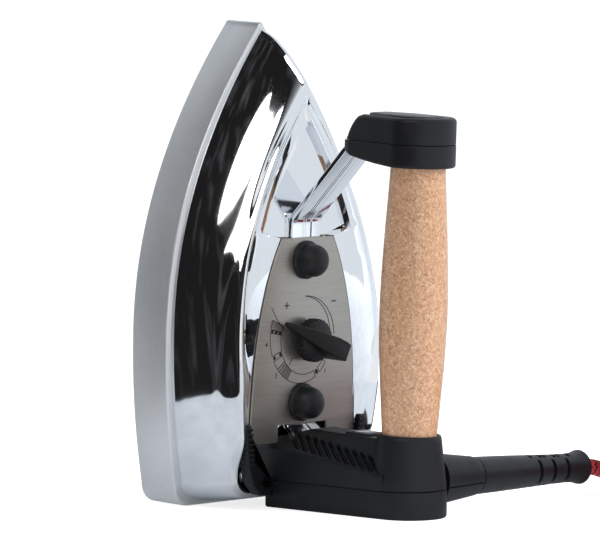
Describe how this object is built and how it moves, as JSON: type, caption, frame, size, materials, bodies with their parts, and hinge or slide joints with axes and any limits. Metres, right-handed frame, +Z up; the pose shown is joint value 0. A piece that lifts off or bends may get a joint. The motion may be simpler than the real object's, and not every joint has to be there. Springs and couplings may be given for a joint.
{
  "type": "dry clothes iron",
  "caption": "Heavy dry iron with a thick soleplate, chromed hood, thermostat dial, cork grip on a bracket, rear housing and braided cord.",
  "frame": {"origin": "centre of the iron's footprint on the surface it stands on, measured without the cord, its coil and its plug", "axes": "the iron stands on its heel: +Z up towards the tip, +X from the soleplate to the handle, +Y sideways, towards the cord; the whole iron leans back two degrees about Y"},
  "size_m": [0.2026, 0.2524, 0.2072],
  "materials": {
    "soleplate": "brushed",
    "hood": "polished",
    "bracket": "polished",
    "dial_plate": "brushed",
    "steel": "satin",
    "brass": "satin",
    "element": "matte",
    "shield": "satin",
    "ceramic": "matte",
    "knob": "satin",
    "nuts": "satin",
    "guards": "matte",
    "front_cap": "satin",
    "housing": "matte",
    "lens": "gloss",
    "lamp": "gloss",
    "cork": "varnished",
    "relief": "satin",
    "cord": "braided",
    "leads": "matte",
    "tie": "matte",
    "plug": "matte",
    "pins": "polished"
  },
  "bodies": {
    "iron": {"soleplate": "soleplate", "heating_element": "element", "element_clamp": "steel", "clamp_screws": "steel", "studs": "steel", "stud_spacers": "steel", "heat_shield": "shield", "thermostat_bracket": "steel", "thermostat_stack": "ceramic", "thermostat_bimetal": "brass", "thermostat_bush": "brass", "hood": "hood", "heel_guards": "guards", "guard_screws": "steel", "handle_bracket": "bracket", "dial_plate": "dial_plate", "cap_nuts": "nuts", "front_cap": "front_cap", "front_cap_lower": "front_cap", "front_cap_insert": "front_cap", "cork_grip": "cork", "handle_rod": "steel", "rod_nuts": "steel", "rear_housing": "housing", "rear_cover": "housing", "cover_screws": "steel", "pilot_lens": "lens", "pilot_lamp": "lamp", "terminal_block": "ceramic", "terminal_screws": "brass", "lead_wires": "leads", "cord_clamp": "steel", "cord_clamp_screws": "steel", "cord_inner": "cord", "strain_relief": "relief", "cord": "cord", "cord_coil": "cord", "cord_tail": "cord", "coil_tie": "tie", "plug_body": "plug", "plug_pins": "pins"},
    "dial": {"dial_spindle": "brass", "dial_knob": "knob"}
  },
  "joints": [
    {"name": "dial_turn", "type": "hinge", "parent": "iron", "child": "dial", "pos_m": [-0.00611, 0, 0.07104], "axis": [0.9994, 0, -0.0349], "range_deg": [-8, 296]}
  ]
}
